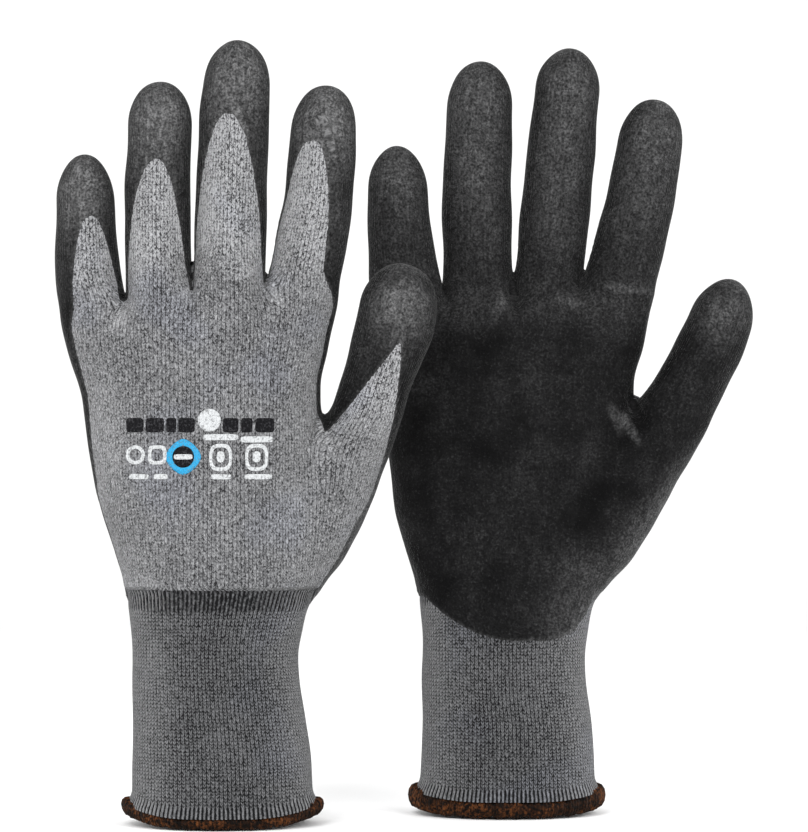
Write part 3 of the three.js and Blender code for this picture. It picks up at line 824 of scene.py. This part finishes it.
def oval_mark(x, z, width, height, power, hole, layer):
    """A printed shape, from a bar (high power) to a disc (power 2), with or without a hole."""
    turn = np.linspace(0, 2 * math.pi, MARK_SIDES, endpoint=False)
    ring = (np.abs(np.cos(turn)) ** power + np.abs(np.sin(turn)) ** power) ** (-1 / power)
    outline = np.stack([width / 2 * ring * np.cos(turn), height / 2 * ring * np.sin(turn)], axis=1)
    scales = np.linspace(hole, 1, MARK_RINGS)[(0 if hole else 1):]
    flat = np.concatenate([outline * scale for scale in scales])
    i = np.arange(MARK_SIDES)
    j = (i + 1) % MARK_SIDES
    band = np.stack([i, j, j + MARK_SIDES, i + MARK_SIDES], axis=1)
    quads = [band + k * MARK_SIDES for k in range(len(scales) - 1)]
    triangles = np.zeros((0, 3), int)
    if not hole:
        flat = np.concatenate([flat, [[0, 0]]])
        triangles = np.stack([j, i, np.full(MARK_SIDES, len(flat) - 1)], axis=1)
    return flat + (x, z), [np.concatenate(quads), triangles], layer


def marks_of(colour):
    """The marks of one colour, on the back of the hand between the cuff and the fingers.

    Rows of bars stand for lettering, and discs, rings and rounded outlines for symbols."""
    badge, disc = (-9.3, 120), (-0.9, 131.8)
    outlines = [(2.8, 126.3, 11.4), (14.4, 125.6, 10.4)]  # x, and z and width of the bar above
    if colour == "black":
        word = [(-25.2, 5.6), (-18.6, 6), (-13.2, 3.2), (-8.3, 5.2), (6, 5), (11.2, 3.6), (17, 6)]
        bars = [oval_mark(x, 130.2, width, 4.6, 7, 0, 0) for x, width in word]
        return bars + [oval_mark(*badge, 7, 7, 2, 0, 1)]
    if colour == "blue":
        return [oval_mark(*badge, 11.6, 11.6, 1.5, 0, 0)]
    marks = [oval_mark(*disc, 7.4, 7.4, 2, 0, 1), oval_mark(*badge, 6, 1.7, 5, 0, 2)]
    marks += [oval_mark(x, 120.6, 6.2, 6.2, power, 0.62, 0) for x, power in ((-25, 2), (-17.8, 4))]
    marks += [oval_mark(x, 119.8, 7.4, 8.8, 3, 0.72, 0) for x, _, _ in outlines]
    marks += [oval_mark(x, 120, 2.6, 3.6, 2.5, 0, 0) for x, _, _ in outlines]
    marks += [oval_mark(x, z, width, 2, 6, 0, 0) for x, z, width in outlines]
    notes = [(-23.8, 6.4), (-16.6, 4.6), (3, 6.6), (15, 9)]
    return marks + [oval_mark(x, 113.6, width, 1.7, 5, 0, 0) for x, width in notes]


def onto_back(glove, flat):
    """Points of the back of the hand's surface that have the given x and z."""
    near, far = np.full(len(flat), -30.0), np.zeros(len(flat))
    for _ in range(24):  # each round halves the stretch that holds the surface
        middle = (near + far) / 2
        points = np.stack([flat[:, 0], middle, flat[:, 1]], axis=1)
        outside = glove.field(points) > 0
        near, far = np.where(outside, middle, near), np.where(outside, far, middle)
    return points


def build_print(glove, materials):
    """The printed marks, laid on the knit of the back."""
    for colour in ("black", "white", "blue"):
        outer, inner, faces, count = [], [], [[], []], 0
        for flat, groups, layer in marks_of(colour):
            points = onto_back(glove, flat)
            normals, _ = glove.normals(points, glove.creased)
            raised = crease_heights(glove, points) - DIP
            outer.append(points + normals * (raised + INK + INK_LAYER * layer)[:, None])
            inner.append(points + normals * (raised - INK)[:, None])
            for total, group in zip(faces, groups):
                total.append(group + count)
            count += len(flat)
        outer, inner = np.concatenate(outer), np.concatenate(inner)
        points, faces = shell(outer, inner, [np.concatenate(group) for group in faces])
        if glove.palm > 0:
            faces = [group[:, ::-1] for group in faces]
        name, material = f"{glove.name}_print_{colour}", materials[f"print_{colour}"]
        obj = make_object(name, glove.to_row(points), faces, material)
        rest = np.concatenate([outer, outer])
        column, row = glove.stitches(rest, glove.beyond_roots(rest))
        store(obj, "rest", glove.to_row(rest))
        store(obj, "column", column)
        store(obj, "row", row)
        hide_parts(f"{glove.name}_print_film")
        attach(obj, f"{glove.name}_hand")


def build_hem(glove, materials):
    """The overlocked edge: a roll of thread wound round the cuff's open end."""
    turn = np.linspace(0, 2 * math.pi, HEM_WRAPS * HEM_STEPS, endpoint=False)
    a, b = glove.hem_half - HEM_RADIUS
    outward = np.stack([np.cos(turn) / a, np.sin(turn) / b], axis=1)
    outward /= np.linalg.norm(outward, axis=1, keepdims=True)
    phase = turn * HEM_WRAPS + 1.1 * np.sin(turn * 29) + 0.9 * np.sin(turn * 47 + 1)
    wander = 1 + 0.07 * np.sin(turn * 23 + 2 * np.cos(turn * 7)) + 0.04 * np.sin(turn * 61)
    fuller = 0.88 + 0.45 * np.abs(np.cos(turn)) ** 3  # the roll is thicker at the cuff's sides
    rows = []
    for k in np.linspace(0, 2 * math.pi, HEM_SIDES, endpoint=False):
        strand = np.abs(np.sin((phase + k) / 2))
        radius = (HEM_RADIUS - HEM_SLACK + HEM_THREAD * strand) * wander * fuller
        ahead = radius * math.cos(k)
        x = glove.spec["hem_x"] + (a - 0.7) * np.cos(turn) + outward[:, 0] * ahead
        p = (b + 0.2) * np.sin(turn) + outward[:, 1] * ahead
        z = np.maximum(HEM_RADIUS + radius * math.sin(k), 0) * glove.spec["hem_tall"]
        z = z + hem_lift(glove, x)
        rows.append(np.stack([x, p, z], axis=1))
    points = np.stack(rows, axis=1).reshape(-1, 3)
    i = np.arange(len(turn))[:, None] * HEM_SIDES
    j = np.roll(i, -1, axis=0)
    k = np.arange(HEM_SIDES)[None, :]
    n = (k + 1) % HEM_SIDES
    quads = np.stack([i + k, j + k, j + n, i + n], axis=2).reshape(-1, 4)
    if glove.palm > 0:
        quads = quads[:, ::-1]
    name, faces = f"{glove.name}_hem_roll", [quads, np.zeros((0, 3), int)]
    obj = make_object(name, glove.to_row(points), faces, materials["hem"])
    store(obj, "wrap", np.repeat(phase / (2 * math.pi), HEM_SIDES))
    store(obj, "rest", glove.to_row(points))
    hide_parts(f"{glove.name}_cuff_hem")
    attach(obj, f"{glove.name}_hand")


# --- materials --------------------------------------------------------------------------


class Nodes:
    """A short way to write a material's nodes."""

    def __init__(self, name):
        self.material = bpy.data.materials.new(name)
        self.material.use_nodes = True
        self.tree = self.material.node_tree
        self.shader = self.tree.nodes["Principled BSDF"]

    def add(self, kind, **settings):
        node = self.tree.nodes.new(kind)
        for key, value in settings.items():
            setattr(node, key, value)
        return node

    def put(self, socket, value):
        if hasattr(value, "is_output"):
            self.tree.links.new(value, socket)
        else:
            socket.default_value = value

    def math(self, operation, *values, clamp=False):
        node = self.add("ShaderNodeMath", operation=operation, use_clamp=clamp)
        for socket, value in zip(node.inputs, values):
            self.put(socket, value)
        return node.outputs[0]

    def times(self, first, *others):
        for value in others:
            first = self.math("MULTIPLY", first, value)
        return first

    def vary(self, base, noise, amount):
        """base, moved up and down by a noise that is 0.5 on average."""
        return self.math("MULTIPLY_ADD", self.math("SUBTRACT", noise, 0.5), amount, base)

    def range(self, value, low, high, to_low=0.0, to_high=1.0):
        node = self.add("ShaderNodeMapRange", interpolation_type="SMOOTHSTEP")
        for socket, number in zip(node.inputs, (value, low, high, to_low, to_high)):
            self.put(socket, number)
        return node.outputs[0]

    def attribute(self, name, output="Fac"):
        return self.add("ShaderNodeAttribute", attribute_name=name).outputs[output]

    def join(self, x, y, z=0.0):
        node = self.add("ShaderNodeCombineXYZ")
        for socket, value in zip(node.inputs, (x, y, z)):
            self.put(socket, value)
        return node.outputs[0]

    def noise(self, vector, scale, detail=2.0, roughness=0.5):
        node = self.add("ShaderNodeTexNoise")
        self.put(node.inputs["Vector"], vector)
        node.inputs["Scale"].default_value = scale
        node.inputs["Detail"].default_value = detail
        node.inputs["Roughness"].default_value = roughness
        return node.outputs["Fac"]

    def mix(self, share, a, b):
        node = self.add("ShaderNodeMix", data_type="RGBA")
        self.put(node.inputs["Factor"], share)
        self.put(node.inputs["A"], a)
        self.put(node.inputs["B"], b)
        return node.outputs["Result"]

    def bump(self, height, distance, strength=1.0, normal=None):
        node = self.add("ShaderNodeBump")
        node.inputs["Distance"].default_value = distance
        node.inputs["Strength"].default_value = strength
        self.put(node.inputs["Height"], height)
        if normal is not None:
            self.put(node.inputs["Normal"], normal)
        return node.outputs["Normal"]

    def shade(self, colour, normal):
        self.put(self.shader.inputs["Base Color"], colour)
        self.put(self.shader.inputs["Normal"], normal)

    def finish(self, roughness, specular=0.5, sheen=0.0, sheen_roughness=0.5):
        """Sets the shader's own numbers, which are the same all over a surface."""
        self.shader.inputs["Roughness"].default_value = roughness
        self.shader.inputs["Specular IOR Level"].default_value = specular
        self.shader.inputs["Sheen Weight"].default_value = sheen
        self.shader.inputs["Sheen Roughness"].default_value = sheen_roughness
        return self.material


def stitch_nodes(n, gather, jitter=2.2):
    """The relief of plain knit, V-shaped loops in columns, and a place along each loop's leg.

    Where gather is 1 the loops are pulled into upright ribs. jitter is how far the loops of a
    row stand out of line."""
    column, row = n.attribute("column"), n.attribute("row")
    across = n.math("ABSOLUTE", n.math("SUBTRACT", n.math("FRACT", column), 0.5))
    row = n.vary(row, n.noise(n.attribute("rest", "Vector"), 420.0, 1.0), jitter)
    slanted = n.math("SUBTRACT", row, n.times(across, 1.45))
    strand = n.math("MULTIPLY_ADD", n.math("SINE", n.times(slanted, 2 * math.pi)), 0.325, 0.675)
    valley = n.range(across, 0.5, 0.28)
    spine = n.range(across, 0.0, 0.1, 0.7, 1.0)
    loop = n.times(strand, valley, spine)
    rib = n.range(across, 0.42, 0.12)
    height = n.math("ADD", loop, n.times(n.math("SUBTRACT", rib, loop), gather))
    leg = n.math("FLOOR", n.times(column, 2.0))
    return height, n.join(n.times(leg, 7.31), n.times(slanted, 0.8))


def knit_material(name, dark, light, contrast, gap_shade, jitter):
    """Melange knit: dark and light are its two yarns, contrast is how much a stretch of yarn
    differs from the next, and fade is painted shade: how much darker the gaps between loops are
    drawn."""
    n = Nodes(name)
    rest = n.attribute("rest", "Vector")
    gather = n.math("MAXIMUM", n.attribute("gather"), n.attribute("hemmed"))
    height, leg = stitch_nodes(n, gather, jitter)
    relief = n.times(height, n.math("MULTIPLY_ADD", n.attribute("gather"), -0.55, 1.0))
    # painted shade: the yarn is drawn darker in the gaps between loops and lighter on the loops
    tone = n.math("MULTIPLY_ADD", relief, gap_shade, 0.33 - 0.45 * gap_shade)
    tone = n.vary(tone, n.noise(leg, 1.0, 1.0), contrast)
    tone = n.vary(tone, n.noise(rest, 1500.0, 1.0), 1.2)
    tone = n.vary(tone, n.noise(rest, 55.0, 2.0), 0.35)
    # painted shade: the knit is drawn a little darker where it meets and tucks under the rolled
    # hem
    tone = n.math("MULTIPLY_ADD", n.attribute("hemmed"), -0.1, tone)
    # painted highlight: the yarn is drawn paler on raised folds
    tone = n.math("MULTIPLY_ADD", n.attribute("folds"), 0.25, tone, clamp=True)
    lift = n.math("MULTIPLY_ADD", n.attribute("digits"), 0.75, 1.0)
    tone = n.math("MULTIPLY", tone, lift, clamp=True)
    bluish = n.range(n.noise(rest, 38.0, 1.0), 0.5, 0.68, 0.0, 0.5)
    yarn = n.mix(bluish, light, tuple(c * s for c, s in zip(light, COOL)))
    fuzz = n.bump(n.noise(rest, 2600.0, 2.0), 0.00012, 0.6)
    n.shade(n.mix(tone, dark, yarn), n.bump(height, 0.0005, 1.0, fuzz))
    return n.finish(roughness=0.95, specular=0.12, sheen=0.3, sheen_roughness=0.3)


def dip_material():
    """Black foam dip: matt, with a fine open grain, paler where it is stretched thin or rubbed and
    where light is painted on it.
    """
    n = Nodes("foam_dip")
    rest = n.attribute("rest", "Vector")
    grain = n.noise(rest, 1300.0, 3.0, 0.65)
    mottle = n.noise(rest, 1300.0, 2.0, 0.6)
    wrinkle = n.noise(rest, 420.0, 3.0, 0.6)
    upright = n.join(n.attribute("column"), n.times(n.attribute("row"), 0.06))
    streak = n.noise(upright, 1.3, 2.0)
    worn_and_lit = n.vary(n.attribute("worn_and_lit"), n.noise(rest, 60.0, 2.0), 0.17)
    thin = n.range(n.attribute("edge"), 1.2, 0.0, 0.0, 0.1)
    local = n.times(n.range(mottle, 0.25, 0.75), n.range(streak, 0.3, 0.7, 0.7, 1.25))
    base = n.math("ADD", n.math("ADD", worn_and_lit, thin), 0.03)
    base = n.times(base, n.range(wrinkle, 0.36, 0.64, 0.72, 1.3))
    tone = n.times(base, n.math("MULTIPLY_ADD", local, 1.5, 0.25))
    spark = n.range(grain, 0.56, 0.75, 0.0, 0.09)
    tone = n.math("ADD", tone, spark, clamp=True)
    black, pale = (0.003, 0.003, 0.0031, 1), (0.15, 0.15, 0.152, 1)
    height, _ = stitch_nodes(n, 1.0)
    normal = n.bump(n.times(height, n.attribute("digits")), 0.0002, 0.5)
    normal = n.bump(wrinkle, 0.0012, 0.5, normal)
    normal = n.bump(mottle, 0.0005, 0.5, normal)
    n.shade(n.mix(tone, black, pale), n.bump(grain, 0.0003, 0.8, normal))
    return n.finish(roughness=0.8, specular=0.05, sheen=0.13, sheen_roughness=0.22)


def print_material(name, ink, gap):
    """Ink on the knit: it follows the loops and leaves specks of yarn between them."""
    n = Nodes(name)
    height, _ = stitch_nodes(n, 0.0)
    speck = n.range(n.noise(n.attribute("rest", "Vector"), 1400.0, 2.0), 0.3, 0.5)
    cover = n.times(speck, n.range(height, 0.0, 0.25, 0.8, 1.0))
    n.shade(n.mix(cover, gap, ink), n.bump(height, 0.0003, 0.8))
    return n.finish(roughness=0.85, specular=0.08)


def hem_material():
    """Dark brown overlock thread, wound closely, with a dull shine."""
    n = Nodes("hem_thread")
    wrap, rest = n.attribute("wrap"), n.attribute("rest", "Vector")
    thread_shading = n.math("ABSOLUTE", n.math("SINE", n.times(wrap, math.pi)))
    fibre = n.range(n.noise(rest, 900.0, 3.0, 0.65), 0.38, 0.72)
    patch = n.range(n.noise(rest, 130.0, 2.0), 0.34, 0.6, 0.2, 1.0)
    # painted shade: the thread is drawn darker between its wraps and lighter on their crests
    tone = n.times(fibre, patch, n.math("MULTIPLY_ADD", thread_shading, 0.5, 0.5))
    dark, light = (0.0022, 0.0017, 0.0014, 1), (0.125, 0.042, 0.012, 1)
    n.shade(n.mix(tone, dark, light), n.bump(n.noise(rest, 1800.0, 2.0), 0.0004, 0.7))
    return n.finish(roughness=0.6, specular=0.06)


def paper_material():
    n = Nodes("backdrop_paper")
    n.shader.inputs["Base Color"].default_value = (0.9, 0.9, 0.9, 1)
    return n.finish(roughness=0.9)


def build_materials():
    """Every material of the gloves. Two colours are a yarn's dark and light, or ink and knit."""
    knit = (0.02, 0.0205, 0.022, 1), (0.41, 0.413, 0.425, 1)
    cuff = (0.004, 0.0042, 0.0048, 1), (0.168, 0.17, 0.176, 1)
    black = (0.006, 0.006, 0.007, 1), (0.035, 0.035, 0.038, 1)
    white = (0.52, 0.535, 0.545, 1), (0.24, 0.245, 0.25, 1)
    blue = (0.03, 0.3, 0.55, 1), (0.1, 0.2, 0.28, 1)
    return {
        "knit": knit_material("melange_knit", *knit, contrast=1.1, gap_shade=0.42, jitter=2.2),
        "cuff": knit_material("cuff_knit", *cuff, contrast=1.35, gap_shade=0.95, jitter=1.3),
        "dip": dip_material(),
        "hem": hem_material(),
        "print_black": print_material("black_ink", *black),
        "print_white": print_material("white_ink", *white),
        "print_blue": print_material("blue_ink", *blue),
    }


# --- stage ------------------------------------------------------------------------------


def build_backdrop():
    """A pale floor that curves up into a wall behind the gloves, in metres."""
    front, wall, top, half, radius = -8.0, 2.0, 3.0, 8.0, 0.8
    bend = [
        (wall - radius + radius * math.sin(t), radius - radius * math.cos(t))
        for t in np.linspace(0, math.pi / 2, 12)
    ]
    profile = [(front, 0)] + bend + [(wall, top)]
    points = np.array([(x, y, z) for y, z in profile for x in (-half, half)])
    strip = np.array([0, 1, 3, 2])
    faces = [np.array([strip + 2 * i for i in range(len(profile) - 1)]), np.zeros((0, 3), int)]
    make_object("backdrop", points, faces, paper_material())


def build_lights():
    """Soft even light all round, a lamp on each side of the camera and one at each edge."""
    world = bpy.data.worlds.new("studio")
    bpy.context.scene.world = world
    world.use_nodes = True
    world.node_tree.nodes["Background"].inputs["Color"].default_value = (1, 1, 1, 1)
    world.node_tree.nodes["Background"].inputs["Strength"].default_value = 0.75
    for name, place, size, power in (
        ("key", (-0.5, -1.5, 1.3), 0.9, 22),
        ("fill", (0.9, -1.3, 0.9), 0.9, 14),
        ("left_edge", (-1.1, 0.15, 0.35), 0.7, 9),
        ("right_edge", (1.1, 0.15, 0.35), 0.7, 9),
    ):
        light = bpy.data.lights.new(name, "AREA")
        light.size, light.energy = size, power
        lamp = bpy.data.objects.new(name, light)
        lamp.location = place
        aim = Vector((0, 0, 0.13)) - Vector(place)
        lamp.rotation_euler = aim.to_track_quat("-Z", "Y").to_euler()
        bpy.context.scene.collection.objects.link(lamp)


def build_camera():
    """A level camera at half the gloves' height, 1.3 m in front of the left glove."""
    camera = bpy.data.cameras.new("camera")
    camera.lens, camera.sensor_width = CAMERA_LENS, CAMERA_SENSOR
    obj = bpy.data.objects.new("camera", camera)
    obj.location = Glove("left").origin * MM + CAMERA_OFFSET
    obj.rotation_euler = (math.pi / 2, 0, 0)
    bpy.context.scene.collection.objects.link(obj)
    bpy.context.scene.camera = obj


def main():
    bpy.context.scene.view_settings.view_transform = "Standard"
    build_camera()
    materials = build_materials()
    for name in GLOVES:
        glove = Glove(name)
        build_skin(glove, materials)
        build_print(glove, materials)
        build_hem(glove, materials)
    build_backdrop()
    build_lights()


main()
